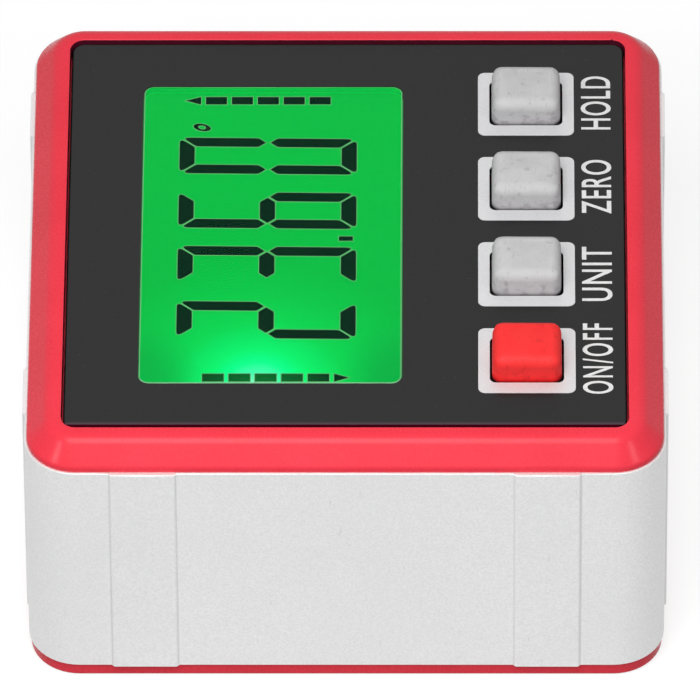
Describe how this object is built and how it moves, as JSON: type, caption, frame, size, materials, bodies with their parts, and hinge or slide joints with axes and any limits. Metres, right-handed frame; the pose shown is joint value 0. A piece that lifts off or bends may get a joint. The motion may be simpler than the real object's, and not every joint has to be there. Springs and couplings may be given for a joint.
{
  "type": "digital angle gauge",
  "caption": "Square digital angle gauge: an aluminium tube with raised measuring lands between red covers, with a green backlit display and rubber keys on a black panel.",
  "frame": {"origin": "middle of the back face, which it lies on", "axes": "+Z out of the display, +X towards the magnetic base, +Y along the display's writing"},
  "size_m": [0.06, 0.06, 0.0316],
  "materials": {
    "tube_aluminium": "sand-blasted, clear anodised",
    "cover_red": "moulded, satin",
    "panel_black": "smooth",
    "lens_clear": "polished",
    "border_silver": "silver print",
    "key_grey": "matt silicone",
    "key_red": "matt silicone",
    "tape_black": "adhesive sheet",
    "switch_black": "moulded",
    "plunger_ivory": "moulded",
    "display_green": "lit display glass",
    "guide_clear": "frosted acrylic",
    "holder_white": "moulded",
    "lamp_green": "lamp body",
    "zebra_pink": "conductive elastomer",
    "board_green": "solder mask",
    "chip_black": "moulded",
    "capacitor_yellow": "moulded",
    "steel": "nickel plated",
    "magnet_nickel": "nickel plated",
    "cell_jacket": "plain printed jacket",
    "lead_red": "insulation",
    "lead_black": "insulation"
  },
  "bodies": {
    "case": {"body_tube": "tube_aluminium", "front_bezel": "cover_red", "panel_tape": "tape_black", "front_panel": "panel_black", "display_lens": "lens_clear", "key_borders": "border_silver", "key_switches": "switch_black", "display_glass": "display_green", "light_guide": "guide_clear", "light_holder": "holder_white", "backlight_led": "lamp_green", "zebra_strip": "zebra_pink", "main_board": "board_green", "controller_chip": "chip_black", "tilt_sensor": "chip_black", "clock_crystal": "steel", "filter_capacitor": "capacitor_yellow", "board_screws": "steel", "back_cover": "cover_red", "cell_a": "cell_jacket", "cell_b": "cell_jacket", "bridge_contact": "steel", "positive_contact": "steel", "negative_contact": "steel", "red_lead": "lead_red", "black_lead": "lead_black", "base_magnets": "magnet_nickel", "case_screws": "steel"},
    "hold_key": {"hold_key": "key_grey", "hold_plunger": "plunger_ivory"},
    "zero_key": {"zero_key": "key_grey", "zero_plunger": "plunger_ivory"},
    "unit_key": {"unit_key": "key_grey", "unit_plunger": "plunger_ivory"},
    "power_key": {"power_key": "key_red", "power_plunger": "plunger_ivory"},
    "battery_door": {"battery_door": "cover_red"}
  },
  "joints": [
    {"name": "hold_press", "type": "slide", "parent": "case", "child": "hold_key", "axis": [0, 0, -1], "range_m": [0, 0.0008], "stiffness_N_per_m": 1200},
    {"name": "zero_press", "type": "slide", "parent": "case", "child": "zero_key", "axis": [0, 0, -1], "range_m": [0, 0.0008], "stiffness_N_per_m": 1200},
    {"name": "unit_press", "type": "slide", "parent": "case", "child": "unit_key", "axis": [0, 0, -1], "range_m": [0, 0.0008], "stiffness_N_per_m": 1200},
    {"name": "power_press", "type": "slide", "parent": "case", "child": "power_key", "axis": [0, 0, -1], "range_m": [0, 0.0008], "stiffness_N_per_m": 1200},
    {"name": "door_slide", "type": "slide", "parent": "case", "child": "battery_door", "axis": [0, 1, 0], "range_m": [0, 0.054]}
  ]
}
